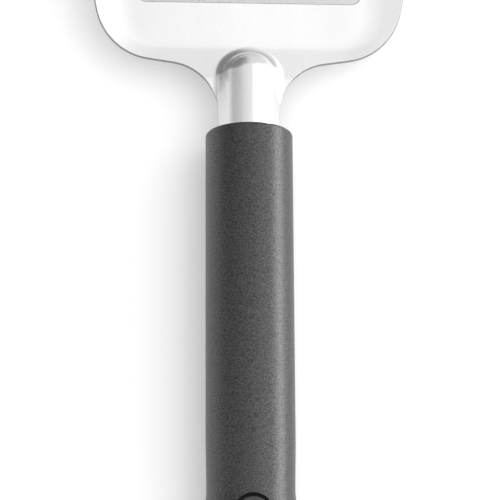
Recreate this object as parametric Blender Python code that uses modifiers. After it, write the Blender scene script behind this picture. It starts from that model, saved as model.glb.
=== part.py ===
"""Cheese slicer: a pressed steel head with a slicing slot and a half-round stem, in a round moulded handle.

The blade points along +Y and the handle along -Y. The slicer lies on the XY plane on the narrow flat along
the underside of its handle, with its head clear of the plane. The origin is the centre of its footprint.
"""

import math

import bmesh
import bpy
from mathutils import Matrix, Vector
from mathutils.geometry import delaunay_2d_cdt

MM = 0.001
SEAT_GAP = 0.3  # between pieces that touch

# Handle, in mm
HANDLE_LENGTH = 119.5
HANDLE_DIAMETER = 24.1
TAPER_LENGTH = 35.5  # this and the next two places are measured forward from the handle's end
WAIST_FROM_END = 20.0
BULGE_FROM_END = 10.0
WAIST_DIAMETER = 23.7
BULGE_DIAMETER = 26.2
END_ROUNDING = 2.4  # exponent of the end's outline: 2 is an ellipse, more is fuller
FRONT_FILLET = 0.9
GRIP_BORE_DIAMETER = 19.6
GRIP_END_WALL = 4.0
FLAT_DEPTH = 11.35  # from the handle's axis down to the flat on its underside

# Hanging hole and the two flanged bushes that line it
HOLE_FROM_END = 12.3
HOLE_DIAMETER = 6.4
BUSH_WALL = 0.8
FLANGE_DIAMETER = 9.2
FLANGE_THICKNESS = 1.2
FLANGE_ROUNDING = 0.5
RECESS_DIAMETER = 10.8
TOP_RECESS_FLOOR = 10.6  # from the handle's axis
BOTTOM_RECESS_FLOOR = 9.2

# Steel sheet, measured forward from the handle's front face
SHEET = 1.4
HEAD_WIDTH = 88.2
HEAD_WIDEST_PLACE = 48.8
HEAD_REAR_EDGE = 22.3
HEAD_FRONT_EDGE = 76.0
REAR_LEAN = math.radians(8.5)
NECK_FILLET_RADIUS = 14.6
REAR_CORNER_RADIUS = 17.0
SIDE_RADIUS = 60.0
FRONT_CORNER_RADIUS = 15.0

# The flat field of the head rises to the front, and a border is raised round its back and sides
FIELD_RISE = math.radians(9.5)
FIELD_REAR = 26.1
FIELD_WIDTH = 70.4
FIELD_CORNER_RADIUS = 10.0
REAR_BEND_HALF_WIDTH = 1.7
SIDE_BEND_HALF_WIDTH = 3.3
BORDER_FADE_START = 52.0
BORDER_FADE_END = 76.0

# Slicing slot, and the lip in front of it, pressed down and ground to an edge
SLOT_REAR_EDGE = 38.4
SLOT_OPENING = 5.6
SLOT_LENGTH = 63.2
LIP_DEPTH = 1.7
LIP_REACH = 7.0
LIP_END_BLEND = 8.0
GRIND_WIDTH = 2.4
EDGE_LAND = 0.25

# Half-round emboss that forms the stem and the tang
CROWN_RADIUS = 7.6
EMBOSS_HEIGHT = 8.0
EMBOSS_DRAFT = math.radians(25.0)
EMBOSS_FILLET = 2.4
DOME_CENTRE = 17.1
NECK_DROP_START = 11.0
NECK_DROP_END = 17.0
STEM_WIDTH = 17.4
TANG_WIDTH = 15.2
TANG_LENGTH = 60.0
TANG_CORNER_RADIUS = 2.5
TANG_END_ROOM = 0.6
TANG_HOLE_DIAMETER = 5.0
TANG_HOLE_PLACES = (16.0, 44.0)

# Two-piece core that clamps the tang inside the grip
CORE_FRONT_RECESS = 0.4
POCKET_LENGTH = 7.0
RIB_THICKNESS = 3.0
TONGUE_WALL = 1.7
TAIL_WALL = 2.0
BUSH_BOSS_WALL = 2.6

# Facets
ROUND_STEPS = 56
SMALL_ROUND_STEPS = 36

# Derived sizes. Places behind the handle's front face are measured back from it.
AXIS_HEIGHT = FLAT_DEPTH
STRIP_HEIGHT = AXIS_HEIGHT + CROWN_RADIUS - EMBOSS_HEIGHT
CORE_RADIUS = GRIP_BORE_DIAMETER / 2 - SEAT_GAP
CORE_BACK = HANDLE_LENGTH - GRIP_END_WALL - SEAT_GAP
TAPER_START = HANDLE_LENGTH - TAPER_LENGTH
WAIST_PLACE = HANDLE_LENGTH - WAIST_FROM_END
BULGE_PLACE = HANDLE_LENGTH - BULGE_FROM_END
HOLE_PLACE = HANDLE_LENGTH - HOLE_FROM_END
HANDLE_FRONT_Y = (HANDLE_LENGTH - HEAD_FRONT_EDGE - SHEET * math.sin(FIELD_RISE)) / 2
BUSH_RADIUS = HOLE_DIAMETER / 2 + BUSH_WALL
BUSH_BORE_RADIUS = BUSH_RADIUS + SEAT_GAP
SLOT_FRONT_EDGE = SLOT_REAR_EDGE + SLOT_OPENING


# Scene and materials


def clear_scene():
    for obj in list(bpy.data.objects):
        bpy.data.objects.remove(obj, do_unlink=True)


def new_collection(name):
    collection = bpy.data.collections.new(name)
    bpy.context.scene.collection.children.link(collection)
    return collection


def principled(name, colour, roughness, metallic):
    material = bpy.data.materials.new(name)
    material.use_nodes = True
    shader = material.node_tree.nodes["Principled BSDF"]
    shader.inputs["Base Color"].default_value = (*colour, 1.0)
    shader.inputs["Roughness"].default_value = roughness
    shader.inputs["Metallic"].default_value = metallic
    material.diffuse_color = (*colour, 1.0)
    return material


def put_in(obj, collection, material=None):
    for old in list(obj.users_collection):
        old.objects.unlink(obj)
    collection.objects.link(obj)
    if material:
        obj.data.materials.clear()
        obj.data.materials.append(material)
    return obj


def as_cutter(obj, cutters):
    put_in(obj, cutters)
    obj.hide_render = True
    obj.display_type = "WIRE"
    return obj


def smooth(obj, angle=math.radians(32)):
    obj.data.shade_smooth()
    obj.data.set_sharp_from_angle(angle=angle)


# Solids made from outlines


def arc(centre, radius, start, end, steps):
    """Points on an arc, both ends included, with angles in radians."""
    turns = [start + (end - start) * k / steps for k in range(steps + 1)]
    points = [(centre[0] + radius * math.cos(a), centre[1] + radius * math.sin(a)) for a in turns]
    return [(round(x, 9), round(y, 9)) for x, y in points]


def turned(name, profile, steps):
    """Solid turned about its local Z from (radius, height) points in mm, outer side running down."""
    mesh = bpy.data.meshes.new(name)
    points = [(radius * MM, 0, height * MM) for radius, height in profile]
    mesh.from_pydata(points, [(k, k + 1) for k in range(len(points) - 1)], [])
    obj = bpy.data.objects.new(name, mesh)
    screw = obj.modifiers.new("turn", "SCREW")
    screw.axis = "Z"
    screw.steps = steps
    screw.render_steps = steps
    screw.use_merge_vertices = True
    screw.merge_threshold = 0.00001
    screw.use_smooth_shade = True
    return obj


def extruded(name, outline, start, end, collection):
    """Prism of an outline in (x, z) mm, running back from start to end behind the handle's front face."""
    curve = bpy.data.curves.new(name, "CURVE")
    curve.dimensions = "2D"
    curve.fill_mode = "BOTH"
    curve.extrude = (end - start) / 2 * MM
    spline = curve.splines.new("POLY")
    spline.points.add(len(outline) - 1)
    for point, (x, z) in zip(spline.points, outline):
        point.co = (x * MM, z * MM, 0, 1)
    spline.use_cyclic_u = True
    rough = bpy.data.objects.new(name + "_outline", curve)
    collection.objects.link(rough)
    rough.rotation_euler = (math.pi / 2, 0, 0)
    rough.location = Vector((0, HANDLE_FRONT_Y - (start + end) / 2, AXIS_HEIGHT)) * MM
    bpy.context.view_layer.update()
    graph = bpy.context.evaluated_depsgraph_get()
    mesh = bpy.data.meshes.new_from_object(rough.evaluated_get(graph))
    weld(mesh)
    solid = bpy.data.objects.new(name, mesh)
    solid.matrix_world = rough.matrix_world.copy()
    collection.objects.link(solid)
    bpy.data.objects.remove(rough, do_unlink=True)
    return solid


def weld(mesh):
    shape = bmesh.new()
    shape.from_mesh(mesh)
    bmesh.ops.remove_doubles(shape, verts=shape.verts, dist=0.000001)
    bmesh.ops.recalc_face_normals(shape, faces=shape.faces)
    shape.to_mesh(mesh)
    shape.free()


def upright_cylinder(name, radius, back, low, high, collection, steps=SMALL_ROUND_STEPS):
    """Vertical cylinder, back mm behind the handle's front, from low to high mm above the handle's axis."""
    bpy.ops.mesh.primitive_cylinder_add(vertices=steps, radius=radius * MM, depth=(high - low) * MM)
    obj = bpy.context.object
    obj.name = name
    obj.location = Vector((0, HANDLE_FRONT_Y - back, AXIS_HEIGHT + (low + high) / 2)) * MM
    put_in(obj, collection)
    return obj


def boxes(name, ranges, collection):
    """One mesh of separate boxes, each (half width, front, back, low, high) in handle mm."""
    shape = bmesh.new()
    for half_width, front, back, low, high in ranges:
        size = Matrix.Diagonal((2 * half_width * MM, (back - front) * MM, (high - low) * MM, 1))
        place = Vector((0, -(front + back) / 2, (low + high) / 2)) * MM
        bmesh.ops.create_cube(shape, size=1, matrix=Matrix.Translation(place) @ size)
    mesh = bpy.data.meshes.new(name)
    shape.to_mesh(mesh)
    shape.free()
    obj = bpy.data.objects.new(name, mesh)
    obj.location = Vector((0, HANDLE_FRONT_Y, AXIS_HEIGHT)) * MM
    collection.objects.link(obj)
    return obj


def boolean(obj, other, operation, cutters):
    modifier = obj.modifiers.new(f"{operation.lower()} {other.name}", "BOOLEAN")
    modifier.operation = operation
    modifier.solver = "EXACT"
    modifier.object = other
    as_cutter(other, cutters)


# Shape of the pressed sheet


def emboss_stations():
    """Where the emboss turns from crown to flank, flank to fillet and fillet to flat, from its centre line."""
    steepest = math.pi / 2 - EMBOSS_DRAFT
    crown_end = CROWN_RADIUS * math.sin(steepest)
    crown_end_height = EMBOSS_HEIGHT - CROWN_RADIUS * (1 - math.cos(steepest))
    flank_end_height = EMBOSS_FILLET * (1 - math.cos(steepest))
    flank_end = crown_end + (crown_end_height - flank_end_height) * math.tan(EMBOSS_DRAFT)
    foot = flank_end + EMBOSS_FILLET * math.sin(steepest)
    return crown_end, crown_end_height, flank_end, foot


def emboss_height(distance):
    """Height of the emboss above the sheet, at a distance from its centre line."""
    crown_end, crown_end_height, flank_end, foot = emboss_stations()
    if distance < crown_end:
        return EMBOSS_HEIGHT - CROWN_RADIUS + math.sqrt(CROWN_RADIUS**2 - distance**2)
    if distance < flank_end:
        return crown_end_height - (distance - crown_end) / math.tan(EMBOSS_DRAFT)
    if distance < foot:
        return EMBOSS_FILLET - math.sqrt(EMBOSS_FILLET**2 - (foot - distance) ** 2)
    return 0.0


def emboss_distances(crown_steps=6, fillet_steps=4):
    """Distances from the centre line that follow the emboss in even turns."""
    crown_end, _, flank_end, foot = emboss_stations()
    steepest = math.pi / 2 - EMBOSS_DRAFT
    crown = [CROWN_RADIUS * math.sin(steepest * k / crown_steps) for k in range(1, crown_steps)]
    fillet = [foot - EMBOSS_FILLET * math.sin(steepest * k / fillet_steps) for k in range(fillet_steps)]
    return sorted(crown + [(crown_end + flank_end) / 2] + fillet)


def smooth_step(value, start, end):
    t = min(1.0, max(0.0, (value - start) / (end - start)))
    return t * t * (3 - 2 * t)


def border_rise(x, y):
    """Rise of the border above the field, at the angle that keeps the border level behind the field."""
    inner_x = FIELD_WIDTH / 2 - FIELD_CORNER_RADIUS
    inner_y = FIELD_REAR + FIELD_CORNER_RADIUS
    out_x = abs(x) - inner_x
    out_y = inner_y - y
    if out_x > 0 and out_y > 0:
        reach = math.hypot(out_x, out_y)
        outside = reach - FIELD_CORNER_RADIUS
        sideways = (out_x / reach) ** 2
    else:
        outside = max(out_x, out_y) - FIELD_CORNER_RADIUS
        sideways = 1.0 if out_x > out_y else 0.0
    bend = REAR_BEND_HALF_WIDTH + (SIDE_BEND_HALF_WIDTH - REAR_BEND_HALF_WIDTH) * sideways
    if outside > bend:
        ramp = outside
    elif outside > -bend:
        ramp = (outside + bend) ** 2 / (4 * bend)
    else:
        ramp = 0.0
    fade = 1 - smooth_step(y, BORDER_FADE_START, BORDER_FADE_END)
    return math.tan(FIELD_RISE) * ramp * fade


def lip_drop(x, y):
    """How far the lip in front of the slot is pressed down."""
    if y < SLOT_REAR_EDGE + SLOT_OPENING / 2:
        return 0.0
    along = 1 - smooth_step(y, SLOT_FRONT_EDGE - LIP_REACH, SLOT_FRONT_EDGE + LIP_REACH)
    across = 1 - smooth_step(abs(x), SLOT_LENGTH / 2 - LIP_END_BLEND, SLOT_LENGTH / 2)
    return LIP_DEPTH * min(1.0, 2 * along) * across


def neck_drop(x, y):
    """How far the sheet beside the stem is pressed down, so that the flanks run on to its edges."""
    crown_end, crown_end_height, _, _ = emboss_stations()
    flank = crown_end_height - (abs(x) - crown_end) / math.tan(EMBOSS_DRAFT)
    beside_stem = 1 - smooth_step(y, NECK_DROP_START, NECK_DROP_END)
    return max(0.0, emboss_height(abs(x)) - flank) * beside_stem


def sheet_height(x, y):
    """Height above the table of the pressed sheet's top side."""
    field = STRIP_HEIGHT + (y - FIELD_REAR) * math.tan(FIELD_RISE)
    past_dome = max(0.0, y - DOME_CENTRE)
    emboss = emboss_height(math.hypot(x, past_dome))
    return field + border_rise(x, y) + emboss - neck_drop(x, y) - lip_drop(x, y)


def head_outline():
    """Right half of the blank, from the tang's end round to the front edge, as (x, y) points."""
    stem_half = STEM_WIDTH / 2
    shoulder = SEAT_GAP - CORE_FRONT_RECESS
    side_x = HEAD_WIDTH / 2 - SIDE_RADIUS
    rear_y = HEAD_REAR_EDGE + REAR_CORNER_RADIUS * math.cos(REAR_LEAN)
    rear_turn = math.asin((HEAD_WIDEST_PLACE - rear_y) / (SIDE_RADIUS - REAR_CORNER_RADIUS))
    rear_x = side_x + (SIDE_RADIUS - REAR_CORNER_RADIUS) * math.cos(rear_turn)
    front_y = HEAD_FRONT_EDGE - FRONT_CORNER_RADIUS
    front_turn = math.asin((front_y - HEAD_WIDEST_PLACE) / (SIDE_RADIUS - FRONT_CORNER_RADIUS))
    front_x = side_x + (SIDE_RADIUS - FRONT_CORNER_RADIUS) * math.cos(front_turn)
    corner_start = REAR_LEAN - math.pi / 2
    points = [(0, -TANG_LENGTH)] + tang_corner_outline()
    points += [(TANG_WIDTH / 2, shoulder), (stem_half, shoulder)]
    points += arc(*neck_fillet((rear_x, rear_y)), math.pi, math.pi / 2 + REAR_LEAN, 14)
    points += arc((rear_x, rear_y), REAR_CORNER_RADIUS, corner_start, -rear_turn, 14)
    points += arc((side_x, HEAD_WIDEST_PLACE), SIDE_RADIUS, -rear_turn, front_turn, 8)[1:]
    points += arc((front_x, front_y), FRONT_CORNER_RADIUS, front_turn, math.pi / 2, 12)[1:]
    points += [(0, HEAD_FRONT_EDGE)]
    return points


def tang_corner_outline():
    """Rounded corner at the tang's end, with its points on the emboss's own facet lines."""
    centre_x = TANG_WIDTH / 2 - TANG_CORNER_RADIUS
    centre_y = TANG_CORNER_RADIUS - TANG_LENGTH
    facets = emboss_distances()
    straight_end = max(x for x in facets if x <= centre_x)
    across = [x for x in facets if centre_x < x < TANG_WIDTH / 2] + [TANG_WIDTH / 2]
    corner = [(x, centre_y - math.sqrt(TANG_CORNER_RADIUS**2 - (x - centre_x) ** 2)) for x in across]
    return [(straight_end, -TANG_LENGTH)] + corner


def neck_fillet(corner_centre):
    """Centre and radius of the arc from the stem's side to the lean of the head's rear edge."""
    lean_start = corner_centre[0] + REAR_CORNER_RADIUS * math.sin(REAR_LEAN)
    rear_line = HEAD_REAR_EDGE - lean_start * math.tan(REAR_LEAN)
    radius = NECK_FILLET_RADIUS
    centre_x = STEM_WIDTH / 2 + radius
    centre_y = rear_line + centre_x * math.tan(REAR_LEAN) - radius / math.cos(REAR_LEAN)
    return (centre_x, centre_y), radius


def slot_outline():
    """Right half of the slot, which has round ends."""
    radius = SLOT_OPENING / 2
    centre = (SLOT_LENGTH / 2 - radius, SLOT_REAR_EDGE + radius)
    blend_start = SLOT_LENGTH / 2 - LIP_END_BLEND
    steps = [blend_start + (centre[0] - blend_start) * k / 3 for k in range(3)]
    back = [(0, SLOT_REAR_EDGE)]
    front = [(x, SLOT_FRONT_EDGE) for x in reversed(steps)] + [(0, SLOT_FRONT_EDGE)]
    return back + arc(centre, radius, -math.pi / 2, math.pi / 2, 10) + front


def tang_hole_outline(place):
    return arc((0, -place), TANG_HOLE_DIAMETER / 2, -math.pi / 2, math.pi / 2, 9)


def pressing_lines():
    """Lines on the blank along which the press bends it, so that the facets follow the bends."""
    lines = []
    for distance in emboss_distances():
        dome = arc((0, DOME_CENTRE), distance, 0, math.pi / 2, 9)
        lines.append([(distance, -TANG_LENGTH - 1)] + dome)
    inner_x = FIELD_WIDTH / 2 - FIELD_CORNER_RADIUS
    inner_y = FIELD_REAR + FIELD_CORNER_RADIUS
    side_steps = 7
    side_end = HEAD_FRONT_EDGE + 1
    for share in (-1.0, -0.6, -0.2, 0.2, 0.6, 1.0):
        line = [(0, FIELD_REAR - share * REAR_BEND_HALF_WIDTH)]
        for k in range(11):
            angle = -math.pi / 2 * (1 - k / 10)
            sideways = math.cos(angle) ** 2
            bend = REAR_BEND_HALF_WIDTH + (SIDE_BEND_HALF_WIDTH - REAR_BEND_HALF_WIDTH) * sideways
            radius = FIELD_CORNER_RADIUS + share * bend
            line.append((inner_x + radius * math.cos(angle), inner_y + radius * math.sin(angle)))
        side_x = line[-1][0]
        line += [(side_x, inner_y + (side_end - inner_y) * k / side_steps) for k in range(1, side_steps + 1)]
        lines.append(line)
    blend_start = SLOT_LENGTH / 2 - LIP_END_BLEND
    across = [blend_start + LIP_END_BLEND * k / 4 for k in range(5)]
    for share in (0.15, 0.35, 0.6, 0.8, 1.0):
        y = SLOT_FRONT_EDGE + LIP_REACH * share
        lines.append([(0, y)] + [(x, y) for x in across])
    crown_end, _, flank_end, _ = emboss_stations()
    for k in range(5):
        y = NECK_DROP_START + (NECK_DROP_END - NECK_DROP_START) * k / 5
        lines.append([((crown_end + flank_end) / 2, y), (flank_end + NECK_FILLET_RADIUS, y)])
    return lines


def inside(point, polygon):
    """Whether a point lies in a closed polygon."""
    x, y = point
    found = False
    for (x0, y0), (x1, y1) in zip(polygon, polygon[1:] + polygon[:1]):
        if (y0 > y) != (y1 > y) and x < x0 + (y - y0) * (x1 - x0) / (y1 - y0):
            found = not found
    return found


def pressed_half(name):
    """Top side of the sheet's right half: a flat blank cut along its outline, then lifted to shape."""
    outline = head_outline()
    holes = [slot_outline()] + [tang_hole_outline(place) for place in TANG_HOLE_PLACES]
    lines = [outline, [outline[-1], outline[0]]] + holes + pressing_lines()
    points = []
    edges = []
    for line in lines:
        first = len(points)
        points += [Vector(p) for p in line]
        edges += [(first + k, first + k + 1) for k in range(len(line) - 1)]
    flat, _, faces, _, _, _ = delaunay_2d_cdt(points, edges, [], 0, 0.001)
    kept = []
    for face in faces:
        middle = sum((flat[k] for k in face), Vector((0, 0))) / len(face)
        if inside(middle, outline) and not any(inside(middle, hole) for hole in holes):
            kept.append(face)
    used = sorted({k for face in kept for k in face})
    place = {old: new for new, old in enumerate(used)}
    corners = [(flat[k].x * MM, flat[k].y * MM, sheet_height(flat[k].x, flat[k].y) * MM) for k in used]
    mesh = bpy.data.meshes.new(name)
    mesh.from_pydata(corners, [], [[place[k] for k in face] for face in kept])
    mesh.validate()
    return mesh


# Sub-parts


def make_blade_head(collection, cutters, material):
    """Head, stem and tang, pressed from one steel sheet."""
    obj = bpy.data.objects.new("blade_head", pressed_half("blade_head"))
    obj.location = (0, HANDLE_FRONT_Y * MM, 0)
    put_in(obj, collection, material)
    mirror = obj.modifiers.new("other half", "MIRROR")
    mirror.use_axis = (True, False, False)
    mirror.use_clip = True
    mirror.merge_threshold = 0.00001
    solidify = obj.modifiers.new("sheet thickness", "SOLIDIFY")
    solidify.thickness = SHEET * MM
    solidify.offset = -1
    solidify.use_even_offset = True
    solidify.use_quality_normals = True
    boolean(obj, make_grinding_wheel(cutters), "DIFFERENCE", cutters)
    smooth(obj)
    return obj


def make_grinding_wheel(cutters):
    """Block whose lower side grinds the lip's top side down to a thin land at the slot."""
    edge_top = sheet_height(0, SLOT_FRONT_EDGE)
    land_top = edge_top - SHEET + EDGE_LAND
    grind_end = sheet_height(0, SLOT_FRONT_EDGE + GRIND_WIDTH)
    slope = math.atan2(grind_end - land_top, GRIND_WIDTH)
    half_length = SLOT_LENGTH / 2 - LIP_END_BLEND
    back = -SLOT_OPENING / 8
    front = 2 * GRIND_WIDTH
    low = 0.0
    high = 2 * SHEET
    shape = bmesh.new()
    size = Matrix.Diagonal((2 * half_length * MM, (front - back) * MM, (high - low) * MM, 1))
    place = Vector((0, (front + back) / 2, (high + low) / 2)) * MM
    bmesh.ops.create_cube(shape, size=1, matrix=Matrix.Translation(place) @ size)
    mesh = bpy.data.meshes.new("grinding_wheel")
    shape.to_mesh(mesh)
    shape.free()
    obj = bpy.data.objects.new("grinding_wheel", mesh)
    obj.rotation_euler = (slope, 0, 0)
    obj.location = Vector((0, HANDLE_FRONT_Y + SLOT_FRONT_EDGE, land_top)) * MM
    return as_cutter(obj, cutters)


def grip_profile():
    """Half section of the grip, from the bottom of its bore round the front rim to the end's middle."""
    bore = GRIP_BORE_DIAMETER / 2
    radius = HANDLE_DIAMETER / 2
    waist = WAIST_DIAMETER / 2
    bulge = BULGE_DIAMETER / 2
    profile = [(0, GRIP_END_WALL - HANDLE_LENGTH), (bore, GRIP_END_WALL - HANDLE_LENGTH), (bore, 0)]
    profile += arc((radius - FRONT_FILLET, -FRONT_FILLET), FRONT_FILLET, math.pi / 2, 0, 4)
    for k in range(5):
        share = (1 - math.cos(math.pi * k / 4)) / 2
        profile.append((radius + (waist - radius) * share, -TAPER_START - (WAIST_PLACE - TAPER_START) * k / 4))
    for k in range(1, 9):
        share = (1 - math.cos(math.pi * k / 8)) / 2
        profile.append((waist + (bulge - waist) * share, -WAIST_PLACE - (BULGE_PLACE - WAIST_PLACE) * k / 8))
    for k in range(1, 12):
        turn = math.pi / 2 * k / 12
        along = math.sin(turn) ** (2 / END_ROUNDING)
        across = math.cos(turn) ** (2 / END_ROUNDING)
        profile.append((bulge * across, -BULGE_PLACE - BULGE_FROM_END * along))
    profile.append((0, -HANDLE_LENGTH))
    return profile


def make_grip(collection, cutters, material):
    """Outer grip: a turned sleeve, closed at its end and crossed by the hanging hole."""
    obj = turned("grip_sleeve", grip_profile(), ROUND_STEPS)
    obj.rotation_euler = (-math.pi / 2, 0, 0)
    obj.location = Vector((0, HANDLE_FRONT_Y, AXIS_HEIGHT)) * MM
    put_in(obj, collection, material)
    reach = BULGE_DIAMETER
    through = upright_cylinder("bush_hole", BUSH_BORE_RADIUS, HOLE_PLACE, -reach, reach, cutters)
    boolean(obj, through, "DIFFERENCE", cutters)
    for name, floor, side in (("top_recess", TOP_RECESS_FLOOR, 1), ("bottom_recess", BOTTOM_RECESS_FLOOR, -1)):
        low, high = sorted((side * floor, side * reach))
        recess = upright_cylinder(name, RECESS_DIAMETER / 2, HOLE_PLACE, low, high, cutters)
        boolean(obj, recess, "DIFFERENCE", cutters)
    under = [(BULGE_DIAMETER, -1, HANDLE_LENGTH + 1, -BULGE_DIAMETER, -FLAT_DEPTH)]
    boolean(obj, boxes("underside_flat", under, cutters), "DIFFERENCE", cutters)
    return obj


def arch_points(outward, end_reach):
    """The tang's arch moved outward from its top side, as (x, z) from the handle's axis, left to right."""
    steps = 16
    base = STRIP_HEIGHT - AXIS_HEIGHT
    half = TANG_WIDTH / 2
    right = []
    for k in range(steps + 1):
        d = half * math.sin(math.pi / 2 * k / steps)
        h = 0.0005
        slope = (emboss_height(d + h) - emboss_height(abs(d - h))) / (2 * h)
        slope = 0.0 if k == 0 else slope
        normal = Vector((-slope, 1)).normalized()
        right.append((d + normal.x * outward, base + emboss_height(d) + normal.y * outward))
    last = right[-1]
    along = Vector((normal.y, -normal.x)) * end_reach
    right.append((last[0] + along.x, last[1] + along.y))
    return [(-x, z) for x, z in reversed(right[1:])] + right


def tang_leg_bottom():
    """Lowest point of the tang's legs, from the handle's axis."""
    return min(z for _, z in arch_points(-SHEET, 0))


def core_split():
    """Heights of the lower core's top face and the upper core's bottom face, from the handle's axis."""
    lower = tang_leg_bottom() - SEAT_GAP
    return lower, lower + SEAT_GAP


def half_disc(split, side, steps=28):
    """Outline of the core's round section on one side of a level line."""
    start = math.asin(split / CORE_RADIUS)
    if side > 0:
        return arc((0, 0), CORE_RADIUS, start, math.pi - start, steps)
    return arc((0, 0), CORE_RADIUS, math.pi - start, 2 * math.pi + start, steps)


def pocket_rows(start, end):
    """Fronts and backs of the pockets that fit between two places, with ribs of one thickness between."""
    pitch = POCKET_LENGTH + RIB_THICKNESS
    count = int((end - start + RIB_THICKNESS) / pitch)
    return [(start + k * pitch, start + k * pitch + POCKET_LENGTH) for k in range(count)]


def tail_pockets():
    start = TANG_LENGTH + TANG_END_ROOM + RIB_THICKNESS
    return pocket_rows(start, HOLE_PLACE - BUSH_BORE_RADIUS - BUSH_BOSS_WALL)


def make_core_lower(collection, cutters, material):
    """Lower half of the core: a tongue with pegs lies in the tang's arch, on a ribbed tail."""
    split, _ = core_split()
    obj = extruded("core_lower", half_disc(split, -1), CORE_FRONT_RECESS, CORE_BACK, collection)
    put_in(obj, collection, material)
    inner = arch_points(-SHEET - SEAT_GAP, -SEAT_GAP)
    foot = split - 1
    tongue_outline = [(inner[0][0], foot)] + inner + [(inner[-1][0], foot)]
    tongue = extruded("tongue", tongue_outline, CORE_FRONT_RECESS, TANG_LENGTH, cutters)
    boolean(obj, tongue, "UNION", cutters)
    hole_inside_arch = TANG_HOLE_DIAMETER / 2 * (1 - SHEET / CROWN_RADIUS)
    peg_radius = hole_inside_arch - SEAT_GAP
    tongue_top = CROWN_RADIUS - SHEET - SEAT_GAP
    peg_top = CORE_RADIUS - SEAT_GAP
    for k, place in enumerate(TANG_HOLE_PLACES):
        peg = upright_cylinder(f"peg_{k}", peg_radius, place, tongue_top - 1, peg_top, cutters, 20)
        boolean(obj, peg, "UNION", cutters)
    below = -CORE_RADIUS - 1
    tongue_half = tongue_top - TONGUE_WALL
    ranges = [
        (tongue_half * 0.72, front, back, below, tongue_half * 0.68)
        for front, back in pocket_rows(CORE_FRONT_RECESS + TAIL_WALL, TANG_LENGTH - TAIL_WALL)
    ]
    tail_half = CORE_RADIUS * 0.66
    ranges += [(tail_half, front, back, below, split - TAIL_WALL) for front, back in tail_pockets()]
    boolean(obj, boxes("lower_pockets", ranges, cutters), "DIFFERENCE", cutters)
    bore = upright_cylinder("lower_bush_bore", BUSH_BORE_RADIUS, HOLE_PLACE, below, split + 1, cutters)
    boolean(obj, bore, "DIFFERENCE", cutters)
    smooth(obj)
    return obj


def make_core_upper(collection, cutters, material):
    """Upper half of the core: a cap over the tang's arch, on a ribbed tail."""
    _, split = core_split()
    obj = extruded("core_upper", half_disc(split, 1), CORE_FRONT_RECESS, CORE_BACK, collection)
    put_in(obj, collection, material)
    outer = arch_points(SEAT_GAP, SEAT_GAP)
    foot = split - 1
    tunnel_outline = [(outer[0][0], foot)] + outer + [(outer[-1][0], foot)]
    tunnel = extruded("tang_tunnel", tunnel_outline, -1, TANG_LENGTH + TANG_END_ROOM, cutters)
    boolean(obj, tunnel, "DIFFERENCE", cutters)
    above = CORE_RADIUS + 1
    for k, place in enumerate(TANG_HOLE_PLACES):
        socket = upright_cylinder(f"socket_{k}", TANG_HOLE_DIAMETER / 2, place, 0, above, cutters, 20)
        boolean(obj, socket, "DIFFERENCE", cutters)
    tail_half = CORE_RADIUS * 0.66
    pocket_top = math.sqrt(CORE_RADIUS**2 - tail_half**2) - TAIL_WALL / 2
    ranges = [(tail_half, front, back, split - 1, pocket_top) for front, back in tail_pockets()]
    boolean(obj, boxes("upper_pockets", ranges, cutters), "DIFFERENCE", cutters)
    bore = upright_cylinder("upper_bush_bore", BUSH_BORE_RADIUS, HOLE_PLACE, split - 1, above, cutters)
    boolean(obj, bore, "DIFFERENCE", cutters)
    smooth(obj)
    return obj


def bush_profile(floor):
    """Half section of a flanged bush with its flange on top, as a closed loop of (radius, height)."""
    hole = HOLE_DIAMETER / 2
    flange = FLANGE_DIAMETER / 2
    seat = floor + SEAT_GAP
    top = seat + FLANGE_THICKNESS
    foot = SEAT_GAP / 2
    rounding = FLANGE_ROUNDING
    profile = arc((hole + rounding, top - rounding), rounding, math.pi, math.pi / 2, 4)
    profile += arc((flange - rounding, top - rounding), rounding, math.pi / 2, 0, 4)
    profile += [(flange, seat), (BUSH_RADIUS, seat), (BUSH_RADIUS, foot), (hole, foot)]
    return profile + profile[:1]


def make_bush(name, floor, side, collection, material):
    """Bush pressed into the hanging hole, from the top for side 1 and from the bottom for side -1."""
    obj = turned(name, bush_profile(floor), SMALL_ROUND_STEPS)
    obj.rotation_euler = (0 if side > 0 else math.pi, 0, 0)
    obj.location = Vector((0, HANDLE_FRONT_Y - HOLE_PLACE, AXIS_HEIGHT)) * MM
    put_in(obj, collection, material)
    return obj


def main():
    clear_scene()
    slicer = new_collection("cheese_slicer")
    cutters = new_collection("cutters")
    steel = principled("brushed_steel", (0.74, 0.74, 0.75), 0.3, 1.0)
    grip = principled("grip_plastic", (0.035, 0.035, 0.037), 0.5, 0.0)
    core = principled("core_plastic", (0.12, 0.12, 0.125), 0.45, 0.0)
    bush = principled("bush_plastic", (0.03, 0.03, 0.032), 0.35, 0.0)
    make_blade_head(slicer, cutters, steel)
    make_core_lower(slicer, cutters, core)
    make_core_upper(slicer, cutters, core)
    make_grip(slicer, cutters, grip)
    make_bush("hanging_bush_top", TOP_RECESS_FLOOR, 1, slicer, bush)
    make_bush("hanging_bush_bottom", BOTTOM_RECESS_FLOOR, -1, slicer, bush)


main()
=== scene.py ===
"""Cheese slicer, dressed: a brushed steel head in a grained black handle, on a white studio table.

Lengths are in millimetres until a mesh is written, which is in metres. Places on the head are measured
forward from the front face of the handle, and places on the handle and the tang backward from it. The
brush lines run along the slicer.
"""

import math
from typing import NamedTuple

import bmesh
import bpy
import numpy as np
from bpy.props import FloatProperty, FloatVectorProperty, PointerProperty
from bpy.types import Operator, Panel, PropertyGroup
from mathutils import Matrix, Vector
from mathutils.geometry import delaunay_2d_cdt
from mathutils.kdtree import KDTree


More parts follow.
